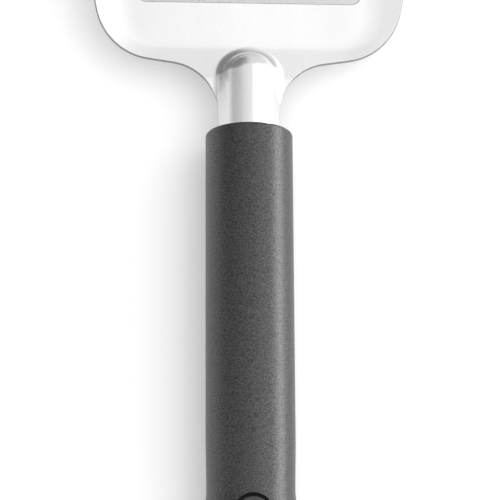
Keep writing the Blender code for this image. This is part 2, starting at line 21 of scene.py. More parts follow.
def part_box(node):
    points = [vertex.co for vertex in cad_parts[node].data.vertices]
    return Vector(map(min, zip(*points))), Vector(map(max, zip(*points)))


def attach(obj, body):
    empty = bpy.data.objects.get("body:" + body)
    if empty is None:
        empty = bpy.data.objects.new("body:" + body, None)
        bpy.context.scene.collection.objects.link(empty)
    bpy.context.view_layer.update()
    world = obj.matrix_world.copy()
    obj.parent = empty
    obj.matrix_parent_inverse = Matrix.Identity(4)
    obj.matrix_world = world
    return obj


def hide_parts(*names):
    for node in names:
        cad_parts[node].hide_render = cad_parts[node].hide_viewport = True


bl_info = {
    "name": "Cheese Slicer",
    "version": (1, 0, 0),
    "blender": (4, 5, 0),
    "location": "3D View > Sidebar > Slicer",
    "description": "Pressed steel cheese slicer with a round moulded handle, on a studio table",
    "category": "Object",
}

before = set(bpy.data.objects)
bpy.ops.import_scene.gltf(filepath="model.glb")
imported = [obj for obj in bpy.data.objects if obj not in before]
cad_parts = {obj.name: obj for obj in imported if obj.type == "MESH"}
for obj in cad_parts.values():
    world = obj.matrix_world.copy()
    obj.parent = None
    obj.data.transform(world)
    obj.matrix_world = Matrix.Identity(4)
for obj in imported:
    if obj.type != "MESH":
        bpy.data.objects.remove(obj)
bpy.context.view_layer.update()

MM = 0.001
SEAT_GAP = 0.3

# Handle, with the flat and the floors of the recesses measured from its axis
HANDLE_LENGTH = 119.5
HANDLE_DIAMETER = 24.1
TAPER_START = 84.0
WAIST_PLACE = 99.5
WAIST_DIAMETER = 23.7
BULGE_PLACE = 109.5
BULGE_DIAMETER = 26.2
END_SQUARENESS = 2.4
FRONT_FILLET = 0.9
BORE_DIAMETER = 19.6
END_WALL = 4.0
FLAT_DEPTH = 11.35
HOLE_PLACE = 107.2
HOLE_DIAMETER = 6.4
BUSH_WALL = 0.8
FLANGE_DIAMETER = 9.2
FLANGE_THICKNESS = 1.2
FLANGE_ROUNDING = 0.5
RECESS_DIAMETER = 11.0
TOP_RECESS_FLOOR = 10.6
BOTTOM_RECESS_FLOOR = 9.2

# Steel sheet
SHEET = 1.4
HEAD_WIDTH = 88.2
HEAD_WIDEST_PLACE = 48.8
HEAD_REAR_EDGE = 22.3
HEAD_FRONT_EDGE = 76.0
REAR_LEAN = math.radians(8.5)
NECK_FILLET_RADIUS = 14.6
REAR_CORNER_RADIUS = 17.0
SIDE_RADIUS = 60.0
FRONT_CORNER_RADIUS = 15.0
FIELD_RISE = math.radians(9.5)
FIELD_REAR = 26.1
FIELD_WIDTH = 70.4
FIELD_CORNER_RADIUS = 10.0
REAR_BEND_HALF_WIDTH = 1.7
SIDE_BEND_HALF_WIDTH = 3.3
BORDER_FADE_START = 52.0
BORDER_FADE_END = 76.0
SLOT_REAR_EDGE = 38.4
SLOT_OPENING = 5.6
SLOT_LENGTH = 63.2
LIP_DEPTH = 1.7
LIP_REACH = 7.0
LIP_END_BLEND = 8.0
GRIND_WIDTH = 2.4
GRIND_END_BLEND = 1.6
GRIND_CLEARANCE = 0.5
EDGE_LAND = 0.25
CROWN_RADIUS = 7.6
EMBOSS_HEIGHT = 8.0
EMBOSS_DRAFT = math.radians(25.0)
EMBOSS_FILLET = 2.4
DOME_CENTRE = 17.1
DOME_FLATNESS = 1.12
NECK_DROP_START = 11.0
NECK_DROP_END = 17.0
STEM_WIDTH = 17.4
TANG_WIDTH = 15.2
TANG_LENGTH = 60.0
TANG_CORNER_RADIUS = 2.5
TANG_HOLE_DIAMETER = 5.0
TANG_HOLE_PLACES = (16.0, 44.0)
CORE_FRONT_RECESS = 0.4

AXIS_HEIGHT = FLAT_DEPTH
STRIP_HEIGHT = AXIS_HEIGHT + CROWN_RADIUS - EMBOSS_HEIGHT
HANDLE_FRONT_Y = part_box("grip_sleeve")[1].y / MM
BUSH_RADIUS = HOLE_DIAMETER / 2 + BUSH_WALL
SLOT_FRONT_EDGE = SLOT_REAR_EDGE + SLOT_OPENING

# Fineness of the meshes, with the lines across the ground lip measured from the slot's front edge
OUTLINE_SPACING = 0.6
SLOT_END_SPACING = 0.3
PRESSING_SPACING = 1.0
DOME_SPACING = 0.5
FILL_SPACING = 1.15
FILL_CLEARANCE = 0.4
SPACING_PLAY = 0.01
SAME_POINT = 1e-6
WELD_DISTANCE = 0.0005
SEAM_DISTANCE = 0.01
CROWN_STEPS = 12
FILLET_STEPS = 6
BEND_LINES = 9
BEND_CORNER_POINTS = 22
GRIND_LINES = (0.8, 1.6, GRIND_WIDTH - 0.1, GRIND_WIDTH + 0.1)
OVERSHOOT = 1.0
RIM_STEPS = 4
ROUNDINGS_PER_RIM = 2.01
NORMAL_STEP = 0.01
TURN_STEPS = 144
FRONT_FILLET_SPACING = 0.15
WAIST_POINTS = 9
BULGE_POINTS = 17
END_POINTS = 25
GRIP_SHARP_ANGLE = math.radians(30)
BUSH_STEPS = 72
BUSH_ROUNDING_SPACING = 0.08
BUSH_SHARP_ANGLE = math.radians(40)

# Places of the sheet's finishes in its list of materials; the underside and cut edges are darkened as
# painted shade
BRUSHED, SHADED_UNDERSIDE, SHADED_CUT = 0, 1, 2
# Places of the grip's finishes in its list of materials; the smooth recesses mirror less light as painted
# shade
GRAINED, SHADED_RECESS = 0, 1

# Cells of each finish's pattern per metre, across, along and up
BRUSH_LINES = (2600, 45, 900)
BRUSH_CLOUDS = (60, 25, 60)
UNDERSIDE_PATCHES = (220, 90, 220)
CUT_PATCHES = (900, 900, 250)
GRIP_GRAIN = (2500, 2500, 2500)
GRIP_PORES = (5200, 5200, 5200)
MOULDED_FLOW = (500, 500, 500)
TABLE_SHADES = (3, 3, 3)

# Roughness of the finishes that no setting changes, and the depth in mm of their texture
UNDERSIDE_ROUGHNESS = 0.45
CUT_ROUGHNESS = 0.5
DULL_STEEL_DEPTH = 0.004
RECESS_ROUGHNESS = 0.6
RECESS_DEPTH = 0.004
BUSH_DEPTH = 0.004
CORE_DEPTH = 0.006
CARD_ROUGHNESS = 0.8
CARD_DEPTH = 0.01
TABLE_ROUGHNESS = 0.9


class Stand(NamedTuple):
    """Where a lamp or card stands and its size, in degrees and mm.

    The heading turns from +X to +Y, the lean is measured from straight up and the spin turns the lamp or
    card in its own plane.
    """

    heading: float
    lean: float
    distance: float
    width: float
    height: float
    spin: float = 0


# Studio
SOFTBOX = Stand(heading=-55, lean=18, distance=1000, width=1200, height=730, spin=50)
SIDE_PANEL = Stand(heading=0, lean=46, distance=1200, width=2200, height=1400)
SIDE_STRIP = Stand(heading=8, lean=80, distance=1300, width=1500, height=300)
GREY_CARD = Stand(heading=128, lean=68, distance=900, width=880, height=760)
PALE_CARD = Stand(heading=164, lean=58, distance=960, width=560, height=900)
FRONT_CARD = Stand(heading=106, lean=74, distance=1000, width=420, height=330)
GREY_CARD_SHADE = 0.2
PALE_CARD_SHADE = 0.5
FRONT_CARD_SHADE = 0.1
TABLE_RADIUS = 6000
TABLE_CORNERS = 96
TABLE_GAP = 0.1

# Camera for a square picture, with its places in the shared frame
CAMERA_PLACE = (-35.521, -174.992, 607.483)
CAMERA_AIM = (0.1, -11.482, 11.35)
CAMERA_ROLL = math.radians(-0.3)
CAMERA_LENS = 163.2
CAMERA_SENSOR = 36.0
CAMERA_NEAREST = 10
CAMERA_FARTHEST = 50000


# Shape of the pressed sheet


def smooth_step(value, start, end):
    """Rise from 0 at the start to 1 at the end, level at both."""
    t = np.clip((value - start) / (end - start), 0.0, 1.0)
    return t * t * (3 - 2 * t)


def emboss_stations():
    """Where the emboss turns from crown to flank, to fillet and to flat, measured from its centre line.

    The second value is the height at the crown's end.
    """
    steepest = math.pi / 2 - EMBOSS_DRAFT
    crown_end = CROWN_RADIUS * math.sin(steepest)
    crown_end_height = EMBOSS_HEIGHT - CROWN_RADIUS * (1 - math.cos(steepest))
    flank_end_height = EMBOSS_FILLET * (1 - math.cos(steepest))
    flank_end = crown_end + (crown_end_height - flank_end_height) * math.tan(EMBOSS_DRAFT)
    foot = flank_end + EMBOSS_FILLET * math.sin(steepest)
    return crown_end, crown_end_height, flank_end, foot


def emboss_height(distance):
    """Height of the emboss above the sheet at a distance from its centre line."""
    crown_end, crown_end_height, flank_end, foot = emboss_stations()
    crown = EMBOSS_HEIGHT - CROWN_RADIUS + np.sqrt(np.maximum(0, CROWN_RADIUS**2 - distance**2))
    flank = crown_end_height - (distance - crown_end) / math.tan(EMBOSS_DRAFT)
    fillet = EMBOSS_FILLET - np.sqrt(np.maximum(0, EMBOSS_FILLET**2 - (foot - distance) ** 2))
    steps = [distance < crown_end, distance < flank_end, distance < foot]
    return np.select(steps, [crown, flank, fillet], 0.0)


def emboss_distances(crown_steps, fillet_steps):
    """Distances from the centre line that follow the emboss in even turns."""
    crown_end, _, flank_end, foot = emboss_stations()
    steepest = math.pi / 2 - EMBOSS_DRAFT
    crown = [CROWN_RADIUS * math.sin(steepest * k / crown_steps) for k in range(1, crown_steps)]
    fillet = [foot - EMBOSS_FILLET * math.sin(steepest * k / fillet_steps) for k in range(fillet_steps)]
    return sorted(crown + [crown_end, flank_end] + fillet)


def bend_half_width(sideways):
    """Half the width of the border's bend, from the rear of the field (0) round to its sides (1)."""
    return REAR_BEND_HALF_WIDTH + (SIDE_BEND_HALF_WIDTH - REAR_BEND_HALF_WIDTH) * sideways


def border_rise(x, y):
    """Rise of the border above the field, at the angle that keeps the border level behind the field."""
    out_x = np.abs(x) - (FIELD_WIDTH / 2 - FIELD_CORNER_RADIUS)
    out_y = FIELD_REAR + FIELD_CORNER_RADIUS - y
    reach = np.hypot(out_x, out_y)
    corner = (out_x > 0) & (out_y > 0)
    outside = np.where(corner, reach, np.maximum(out_x, out_y)) - FIELD_CORNER_RADIUS
    sideways = np.where(corner, (out_x / np.maximum(reach, 1e-9)) ** 2, out_x > out_y)
    bend = bend_half_width(sideways)
    ramp = np.where(outside > bend, outside, np.clip(outside + bend, 0, None) ** 2 / (4 * bend))
    fade = 1 - smooth_step(y, BORDER_FADE_START, BORDER_FADE_END)
    return math.tan(FIELD_RISE) * ramp * fade


def lip_drop(x, y):
    """How far the lip in front of the slot is pressed down."""
    along = 1 - smooth_step(y, SLOT_FRONT_EDGE - LIP_REACH, SLOT_FRONT_EDGE + LIP_REACH)
    across = 1 - smooth_step(np.abs(x), SLOT_LENGTH / 2 - LIP_END_BLEND, SLOT_LENGTH / 2)
    drop = LIP_DEPTH * np.minimum(1.0, 2 * along) * across
    return np.where(y < SLOT_REAR_EDGE + SLOT_OPENING / 2, 0.0, drop)


def neck_drop(x, y):
    """How far the sheet beside the stem is pressed down, so that the flanks run on to its edges."""
    crown_end, crown_end_height, _, _ = emboss_stations()
    reach = np.minimum(np.abs(x), STEM_WIDTH / 2)
    flank = crown_end_height - (reach - crown_end) / math.tan(EMBOSS_DRAFT)
    beside_stem = 1 - smooth_step(y, NECK_DROP_START, NECK_DROP_END)
    return np.maximum(0, emboss_height(reach) - flank) * beside_stem


def sheet_height(x, y):
    """Height above the table of the pressed sheet's top side, before the lip is ground."""
    field = STRIP_HEIGHT + (y - FIELD_REAR) * math.tan(FIELD_RISE)
    emboss = emboss_height(np.hypot(x, DOME_FLATNESS * np.maximum(0.0, y - DOME_CENTRE)))
    return field + border_rise(x, y) + emboss - neck_drop(x, y) - lip_drop(x, y)


def ground_height(x, y):
    """Height of the top side with the lip ground down to a thin land at the slot."""
    raw = sheet_height(x, y)
    edge = np.array([0.0])
    land_top = sheet_height(edge, edge + SLOT_FRONT_EDGE)[0] - SHEET + EDGE_LAND
    grind_end = sheet_height(edge, edge + SLOT_FRONT_EDGE + GRIND_WIDTH)[0]
    wheel = land_top + (y - SLOT_FRONT_EDGE) * (grind_end - land_top) / GRIND_WIDTH
    half_length = SLOT_LENGTH / 2 - LIP_END_BLEND
    along_slot = 1 - smooth_step(np.abs(x), half_length - GRIND_END_BLEND, half_length)
    beside_slot = (y > SLOT_FRONT_EDGE - GRIND_CLEARANCE) & (y < SLOT_FRONT_EDGE + 2 * GRIND_WIDTH)
    return raw - np.maximum(0, raw - wheel) * along_slot * beside_slot


def surface_normals(height, x, y):
    """Unit normals of a height formula at each point."""
    step = NORMAL_STEP
    slope_x = (height(x + step, y) - height(x - step, y)) / (2 * step)
    slope_y = (height(x, y + step) - height(x, y - step)) / (2 * step)
    normals = np.stack([-slope_x, -slope_y, np.ones_like(x)], axis=1)
    return normals / np.linalg.norm(normals, axis=1)[:, None]


# Outlines on the flat blank


def arc(centre, radius, start, end, spacing=OUTLINE_SPACING):
    """Points on an arc, both ends included, with angles in radians."""
    steps = max(2, math.ceil(abs(end - start) * radius / spacing))
    turns = [start + (end - start) * k / steps for k in range(steps + 1)]
    points = [(centre[0] + radius * math.cos(a), centre[1] + radius * math.sin(a)) for a in turns]
    return [(round(x, 9), round(y, 9)) for x, y in points]


def subdivided(points, spacing=OUTLINE_SPACING, closed=False):
    """The same line with points no further apart than the spacing."""
    line = []
    for a, b in zip(points, points[1:] + points[:1] if closed else points[1:]):
        steps = max(1, math.ceil(math.dist(a, b) / spacing - SPACING_PLAY))
        line += [(a[0] + (b[0] - a[0]) * k / steps, a[1] + (b[1] - a[1]) * k / steps) for k in range(steps)]
    return line if closed else line + [points[-1]]


def without_repeats(points):
    """The same closed line without points that lie on the next one."""
    return [p for p, q in zip(points, points[1:] + points[:1]) if math.dist(p, q) > SAME_POINT]


def mirrored(half):
    """Closed outline from its right half, which starts and ends on the centre line."""
    return half + [(-x, y) for x, y in reversed(half[1:-1])]


def neck_fillet(corner_centre):
    """Centre and radius of the arc from the stem's side to the lean of the head's rear edge."""
    lean_start = corner_centre[0] + REAR_CORNER_RADIUS * math.sin(REAR_LEAN)
    rear_line = HEAD_REAR_EDGE - lean_start * math.tan(REAR_LEAN)
    centre_x = STEM_WIDTH / 2 + NECK_FILLET_RADIUS
    centre_y = rear_line + centre_x * math.tan(REAR_LEAN) - NECK_FILLET_RADIUS / math.cos(REAR_LEAN)
    return (centre_x, centre_y), NECK_FILLET_RADIUS


def head_outline():
    """Outline of the blank, counterclockwise from the middle of the tang's end."""
    shoulder = SEAT_GAP - CORE_FRONT_RECESS
    side_x = HEAD_WIDTH / 2 - SIDE_RADIUS
    rear_y = HEAD_REAR_EDGE + REAR_CORNER_RADIUS * math.cos(REAR_LEAN)
    rear_turn = math.asin((HEAD_WIDEST_PLACE - rear_y) / (SIDE_RADIUS - REAR_CORNER_RADIUS))
    rear_x = side_x + (SIDE_RADIUS - REAR_CORNER_RADIUS) * math.cos(rear_turn)
    front_y = HEAD_FRONT_EDGE - FRONT_CORNER_RADIUS
    front_turn = math.asin((front_y - HEAD_WIDEST_PLACE) / (SIDE_RADIUS - FRONT_CORNER_RADIUS))
    front_x = side_x + (SIDE_RADIUS - FRONT_CORNER_RADIUS) * math.cos(front_turn)
    tang_corner = (TANG_WIDTH / 2 - TANG_CORNER_RADIUS, TANG_CORNER_RADIUS - TANG_LENGTH)
    half = [(0, -TANG_LENGTH)] + arc(tang_corner, TANG_CORNER_RADIUS, -math.pi / 2, 0)
    half += [(TANG_WIDTH / 2, shoulder), (STEM_WIDTH / 2, shoulder)]
    half += arc(*neck_fillet((rear_x, rear_y)), math.pi, math.pi / 2 + REAR_LEAN)
    half += arc((rear_x, rear_y), REAR_CORNER_RADIUS, REAR_LEAN - math.pi / 2, -rear_turn)
    half += arc((side_x, HEAD_WIDEST_PLACE), SIDE_RADIUS, -rear_turn, front_turn)[1:]
    half += arc((front_x, front_y), FRONT_CORNER_RADIUS, front_turn, math.pi / 2)[1:]
    half += [(0, HEAD_FRONT_EDGE)]
    return without_repeats(subdivided(mirrored(half), closed=True))


def slot_outline():
    """Slot with round ends."""
    radius = SLOT_OPENING / 2
    centre = (SLOT_LENGTH / 2 - radius, SLOT_REAR_EDGE + radius)
    half = [(0, SLOT_REAR_EDGE)]
    half += arc(centre, radius, -math.pi / 2, math.pi / 2, SLOT_END_SPACING)
    half += [(0, SLOT_FRONT_EDGE)]
    return without_repeats(subdivided(mirrored(half), closed=True))


def tang_hole_outline(place):
    """Round hole for a peg of the core."""
    return arc((0, -place), TANG_HOLE_DIAMETER / 2, 0, 2 * math.pi)[:-1]


def miters(loop):
    """For each corner of a closed counterclockwise line, the vector that moves its sides out by one."""
    points = np.array(loop)
    ahead = np.roll(points, -1, axis=0) - points
    ahead /= np.linalg.norm(ahead, axis=1)[:, None]
    after = np.stack([ahead[:, 1], -ahead[:, 0]], axis=1)
    before = np.roll(after, 1, axis=0)
    return (before + after) / (1 + np.sum(before * after, axis=1))[:, None]


def inset(loop, distance):
    """A closed counterclockwise line moved into its inside, or out of it for a negative distance."""
    return [tuple(p) for p in np.array(loop) - distance * miters(loop)]


def pressing_lines():
    """Lines along which the press bends the blank, so that the faces follow the bends."""
    lines = []
    tang_end = -TANG_LENGTH - OVERSHOOT
    for distance in emboss_distances(CROWN_STEPS, FILLET_STEPS):
        half_circle = arc((0, 0), distance, 0, math.pi, DOME_SPACING)
        dome = [(x, DOME_CENTRE + y / DOME_FLATNESS) for x, y in half_circle]
        right = [(distance, tang_end), (distance, 0)]
        left = [(-distance, 0), (-distance, tang_end)]
        lines.append(right + dome + left)
    inner_x = FIELD_WIDTH / 2 - FIELD_CORNER_RADIUS
    inner_y = FIELD_REAR + FIELD_CORNER_RADIUS
    for share in np.linspace(-1.0, 1.0, BEND_LINES):
        right = [(0, FIELD_REAR - share * REAR_BEND_HALF_WIDTH)]
        for angle in np.linspace(-math.pi / 2, 0, BEND_CORNER_POINTS):
            radius = FIELD_CORNER_RADIUS + share * bend_half_width(math.cos(angle) ** 2)
            right.append((inner_x + radius * math.cos(angle), inner_y + radius * math.sin(angle)))
        right.append((right[-1][0], HEAD_FRONT_EDGE + OVERSHOOT))
        lines += [right, [(-x, y) for x, y in right]]
    grind_half = SLOT_LENGTH / 2 - LIP_END_BLEND
    for reach in GRIND_LINES:
        lines.append([(-grind_half, SLOT_FRONT_EDGE + reach), (grind_half, SLOT_FRONT_EDGE + reach)])
    return [subdivided(line, PRESSING_SPACING) for line in lines]


def inside(points, loop):
    """Which of the points lie in a closed line."""
    x, y = points[:, 0], points[:, 1]
    found = np.zeros(len(points), bool)
    for (x0, y0), (x1, y1) in zip(loop, loop[1:] + loop[:1]):
        if y0 != y1:
            crosses = (y0 > y) != (y1 > y)
            found ^= crosses & (x < x0 + (y - y0) * (x1 - x0) / (y1 - y0))
    return found


def fill_points(outer, holes, lines):
    """Even points over the blank, clear of the lines."""
    row = FILL_SPACING * math.sqrt(3) / 2
    low_x, low_y = np.min(outer, axis=0)
    high_x, high_y = np.max(outer, axis=0)
    grid = []
    for k, y in enumerate(np.arange(low_y, high_y, row)):
        grid += [(x, y) for x in np.arange(low_x + (k % 2) * FILL_SPACING / 2, high_x, FILL_SPACING)]
    grid = np.array(grid)
    kept = inside(grid, outer)
    for hole in holes:
        kept &= ~inside(grid, hole)
    taken = [p for line in [outer, *holes, *lines] for p in line]
    tree = KDTree(len(taken))
    for k, (x, y) in enumerate(taken):
        tree.insert((x, y, 0), k)
    tree.balance()
    return [tuple(p) for p in grid[kept] if tree.find((*p, 0))[2] > FILL_CLEARANCE]


def triangulated(outer, holes, lines):
    """Points and counterclockwise triangles of the blank inside its outline and outside its holes."""
    points = []
    edges = []
    closed_lines = 1 + len(holes)
    for number, line in enumerate([outer, *holes, *lines]):
        first = len(points)
        points += [Vector(p) for p in line]
        edges += [(first + k, first + k + 1) for k in range(len(line) - 1)]
        if number < closed_lines:
            edges.append((len(points) - 1, first))
    points += [Vector(p) for p in fill_points(outer, holes, lines)]
    flat, _, faces, _, _, _ = delaunay_2d_cdt(points, edges, [], 0, WELD_DISTANCE)
    flat = np.array([tuple(p) for p in flat])
    faces = np.array([face for face in faces if len(face) == 3])
    middles = flat[faces].mean(axis=1)
    kept = inside(middles, outer)
    for hole in holes:
        kept &= ~inside(middles, hole)
    faces = faces[kept]
    a, b, c = flat[faces[:, 0]], flat[faces[:, 1]], flat[faces[:, 2]]
    clockwise = (b[:, 0] - a[:, 0]) * (c[:, 1] - a[:, 1]) < (b[:, 1] - a[:, 1]) * (c[:, 0] - a[:, 0])
    faces[clockwise] = faces[clockwise][:, ::-1]
    used, faces = np.unique(faces, return_inverse=True)
    return flat[used], faces.reshape(-1, 3)


def edge_loops(faces):
    """The open edges of counterclockwise triangles, chained into loops with the faces on their left."""
    directed = {(a, b) for face in faces.tolist() for a, b in zip(face, face[1:] + face[:1])}
    following = {a: b for a, b in directed if (b, a) not in directed}
    loops = []
    while following:
        start = next(iter(following))
        loop = [start]
        while following[loop[-1]] != start:
            loop.append(following[loop[-1]])
        for k in loop:
            del following[k]
        loops.append(loop)
    return loops


# Meshes


def new_piece(name, mesh, materials, node):
    """Object that rides on the slicer in the place of a node of the CAD model."""
    piece = bpy.data.objects.new(name, mesh)
    bpy.context.scene.collection.objects.link(piece)
    for material in materials:
        mesh.materials.append(material)
    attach(piece, "root")
    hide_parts(node)


def mesh_of(name, points, faces, normals):
    """Mesh in metres from points in mm measured from the handle's front, with given shading normals."""
    mesh = bpy.data.meshes.new(name)
    world = (points + (0, HANDLE_FRONT_Y, 0)) * MM
    mesh.from_pydata(world.tolist(), [], faces)
    mesh.shade_smooth()
    mesh.normals_split_custom_set_from_vertices([tuple(n) for n in normals])
    mesh.update()
    return mesh


def rim_rings(top, bottom, up, edge_rounding):
    """Points and normals of the rim along one cut edge, ring by ring from the top side to the bottom."""
    out = miters(top[:, :2])
    slope = np.sum(out * -up[:, :2] / up[:, 2:], axis=1)
    outward = np.column_stack([out, slope])
    unit = outward / np.linalg.norm(outward, axis=1)[:, None]
    thickness = np.linalg.norm(top - bottom, axis=1)[:, None]
    down = (bottom - top) / thickness
    rounding = np.minimum(edge_rounding, thickness / ROUNDINGS_PER_RIM)
    rings = []
    for side, centre in ((0, rounding), (1, thickness - rounding)):
        for k in range(1 - side, RIM_STEPS + 1 - side):
            turn = math.pi / 2 * (k / RIM_STEPS + side)
            level = centre - rounding * math.cos(turn)
            ring = top + outward * edge_rounding * math.sin(turn) + down * level
            rings.append((ring, unit * math.sin(turn) - down * math.cos(turn)))
    return rings


def pressed_sheet_mesh(name, edge_rounding):
    """The pressed sheet as one closed shell: top and bottom sides, joined round every cut edge by a rim."""
    cuts = [slot_outline()] + [tang_hole_outline(place) for place in TANG_HOLE_PLACES]
    holes = [inset(cut, -edge_rounding) for cut in cuts]
    flat, faces = triangulated(inset(head_outline(), edge_rounding), holes, pressing_lines())
    x, y = flat[:, 0], flat[:, 1]
    up = surface_normals(sheet_height, x, y)
    top = np.stack([x, y, ground_height(x, y)], axis=1)
    bottom = np.stack([x, y, sheet_height(x, y)], axis=1) - SHEET * up
    count = len(flat)
    points = [top, bottom]
    normals = [surface_normals(ground_height, x, y), -up]
    shell = faces.tolist() + (faces[:, ::-1] + count).tolist()
    # The underside gets steel darker than bare steel: painted shade, so that it throws less light on to the
    # table beneath
    finishes = [BRUSHED] * len(faces) + [SHADED_UNDERSIDE] * len(faces)
    total = 2 * count
    for loop in edge_loops(faces):
        size = len(loop)
        rings = [loop]
        for ring_points, ring_normals in rim_rings(top[loop], bottom[loop], up[loop], edge_rounding):
            points.append(ring_points)
            normals.append(ring_normals)
            rings.append(list(range(total, total + size)))
            total += size
        rings.append([k + count for k in loop])
        for step, (upper, lower) in enumerate(zip(rings, rings[1:])):
            for k in range(size):
                after = (k + 1) % size
                shell.append((upper[k], lower[k], lower[after], upper[after]))
            # Rims below the top rounding get the cut edges' steel, darkened partly as painted shade
            finishes += [BRUSHED if step == 0 else SHADED_CUT] * size
    mesh = mesh_of(name, np.concatenate(points), shell, np.concatenate(normals))
    mesh.polygons.foreach_set("material_index", finishes)
    return mesh


def turned(name, profile, steps):
    """Object turned about its local Z from (radius, height) points in mm, outer side running down."""
    mesh = bpy.data.meshes.new(name)
    points = [(radius * MM, 0, height * MM) for radius, height in profile]
    mesh.from_pydata(points, [(k, k + 1) for k in range(len(points) - 1)], [])
    obj = bpy.data.objects.new(name, mesh)
    bpy.context.scene.collection.objects.link(obj)
    screw = obj.modifiers.new("turn", "SCREW")
    screw.axis = "Z"
    screw.steps = steps
    screw.render_steps = steps
    screw.use_merge_vertices = True
    screw.merge_threshold = SEAM_DISTANCE * MM
    screw.use_smooth_shade = True
    return obj


def settled_mesh(obj, helpers=()):
    """The object's mesh with its modifiers and place worked in. The object and its helpers are removed."""
    bpy.context.view_layer.update()
    graph = bpy.context.evaluated_depsgraph_get()
    mesh = bpy.data.meshes.new_from_object(obj.evaluated_get(graph))
    mesh.transform(obj.matrix_world)
    name = obj.name
    for old in [obj, *helpers]:
        bpy.data.objects.remove(old, do_unlink=True)
    mesh.name = name
    return mesh


def eased_wall(first_radius, last_radius, first_place, last_place, points):
    """Wall that swells or narrows smoothly between two places behind the front face."""
    wall = []
    for share in np.linspace(0, 1, points):
        blend = (1 - math.cos(math.pi * share)) / 2
        radius = first_radius + (last_radius - first_radius) * blend
        wall.append((radius, -first_place - (last_place - first_place) * share))
    return wall


def grip_profile():
    """Half section of the grip, from the bottom of its bore round the front rim to the end's middle."""
    bore = BORE_DIAMETER / 2
    radius = HANDLE_DIAMETER / 2
    waist = WAIST_DIAMETER / 2
    bulge = BULGE_DIAMETER / 2
    profile = [(0, END_WALL - HANDLE_LENGTH), (bore, END_WALL - HANDLE_LENGTH), (bore, 0)]
    fillet_centre = (radius - FRONT_FILLET, -FRONT_FILLET)
    profile += arc(fillet_centre, FRONT_FILLET, math.pi / 2, 0, FRONT_FILLET_SPACING)
    profile += eased_wall(radius, waist, TAPER_START, WAIST_PLACE, WAIST_POINTS)
    profile += eased_wall(waist, bulge, WAIST_PLACE, BULGE_PLACE, BULGE_POINTS)[1:]
    for turn in np.linspace(0, math.pi / 2, END_POINTS)[1:-1]:
        along = math.sin(turn) ** (2 / END_SQUARENESS)
        across = math.cos(turn) ** (2 / END_SQUARENESS)
        profile.append((bulge * across, -BULGE_PLACE - (HANDLE_LENGTH - BULGE_PLACE) * along))
    profile.append((0, -HANDLE_LENGTH))
    return profile


def upright_cylinder(name, radius, low, high):
    """Cutter on the hanging hole's axis, from low to high mm above the handle's axis."""
    bpy.ops.mesh.primitive_cylinder_add(vertices=BUSH_STEPS, radius=radius * MM, depth=(high - low) * MM)
    obj = bpy.context.object
    obj.name = name
    obj.location = Vector((0, HANDLE_FRONT_Y - HOLE_PLACE, AXIS_HEIGHT + (low + high) / 2)) * MM
    return obj


def flat_cutter():
    """Block below the flat on the grip's underside."""
    shape = bmesh.new()
    length = HANDLE_LENGTH + 2 * OVERSHOOT
    size = Matrix.Diagonal((2 * BULGE_DIAMETER * MM, length * MM, BULGE_DIAMETER * MM, 1))
    middle = Vector((0, HANDLE_FRONT_Y - HANDLE_LENGTH / 2, AXIS_HEIGHT - FLAT_DEPTH - BULGE_DIAMETER / 2))
    bmesh.ops.create_cube(shape, size=1, matrix=Matrix.Translation(middle * MM) @ size)
    mesh = bpy.data.meshes.new("underside_flat")
    shape.to_mesh(mesh)
    shape.free()
    obj = bpy.data.objects.new("underside_flat", mesh)
    bpy.context.scene.collection.objects.link(obj)
    return obj


def recess_finishes(mesh):
    """The finish of each face of the grip: smooth in the bushes' recesses, where it mirrors less light as
    painted shade, and grained elsewhere.
    """
    centres = np.empty(3 * len(mesh.polygons))
    mesh.polygons.foreach_get("center", centres)
    x, y, _ = centres.reshape(-1, 3).T / MM
    reach = np.hypot(x, y - (HANDLE_FRONT_Y - HOLE_PLACE))
    return np.where(reach < RECESS_DIAMETER / 2, SHADED_RECESS, GRAINED).tolist()


def grip_mesh():
    """The grip as one closed shell, with its bore, hanging hole, recesses and flat cut out."""
    obj = turned("grip", grip_profile(), TURN_STEPS)
    obj.rotation_euler = (-math.pi / 2, 0, 0)
    obj.location = Vector((0, HANDLE_FRONT_Y, AXIS_HEIGHT)) * MM
    reach = BULGE_DIAMETER
    cutters = [
        upright_cylinder("bush_hole", BUSH_RADIUS + SEAT_GAP, -reach, reach),
        upright_cylinder("top_recess", RECESS_DIAMETER / 2, TOP_RECESS_FLOOR, reach),
        upright_cylinder("bottom_recess", RECESS_DIAMETER / 2, -reach, -BOTTOM_RECESS_FLOOR),
        flat_cutter(),
    ]
    for cutter in cutters:
        cut = obj.modifiers.new(cutter.name, "BOOLEAN")
        cut.operation = "DIFFERENCE"
        cut.solver = "EXACT"
        cut.object = cutter
    mesh = settled_mesh(obj, cutters)
    mesh.shade_smooth()
    mesh.set_sharp_from_angle(angle=GRIP_SHARP_ANGLE)
    mesh.polygons.foreach_set("material_index", recess_finishes(mesh))
    return mesh


def bush_profile(floor):
    """Half section of a flanged bush with its flange on top, as a closed loop of (radius, height)."""
    hole = HOLE_DIAMETER / 2
    flange = FLANGE_DIAMETER / 2
    seat = floor + SEAT_GAP
    top = seat + FLANGE_THICKNESS
    foot = SEAT_GAP / 2
    rounding = FLANGE_ROUNDING
    spacing = BUSH_ROUNDING_SPACING
    profile = arc((hole + rounding, top - rounding), rounding, math.pi, math.pi / 2, spacing)
    profile += arc((flange - rounding, top - rounding), rounding, math.pi / 2, 0, spacing)
    profile += [(flange, seat), (BUSH_RADIUS, seat), (BUSH_RADIUS, foot), (hole, foot)]
    return profile + profile[:1]


def bush_mesh(name, floor, side):
    """One bush in its place, with its flange up on side 1 and down on side -1."""
    obj = turned(name, bush_profile(floor), BUSH_STEPS)
    obj.rotation_euler = (0 if side > 0 else math.pi, 0, 0)
    obj.location = Vector((0, HANDLE_FRONT_Y - HOLE_PLACE, AXIS_HEIGHT)) * MM
    mesh = settled_mesh(obj)
    mesh.shade_smooth()
    mesh.set_sharp_from_angle(angle=BUSH_SHARP_ANGLE)
    return mesh


# Materials


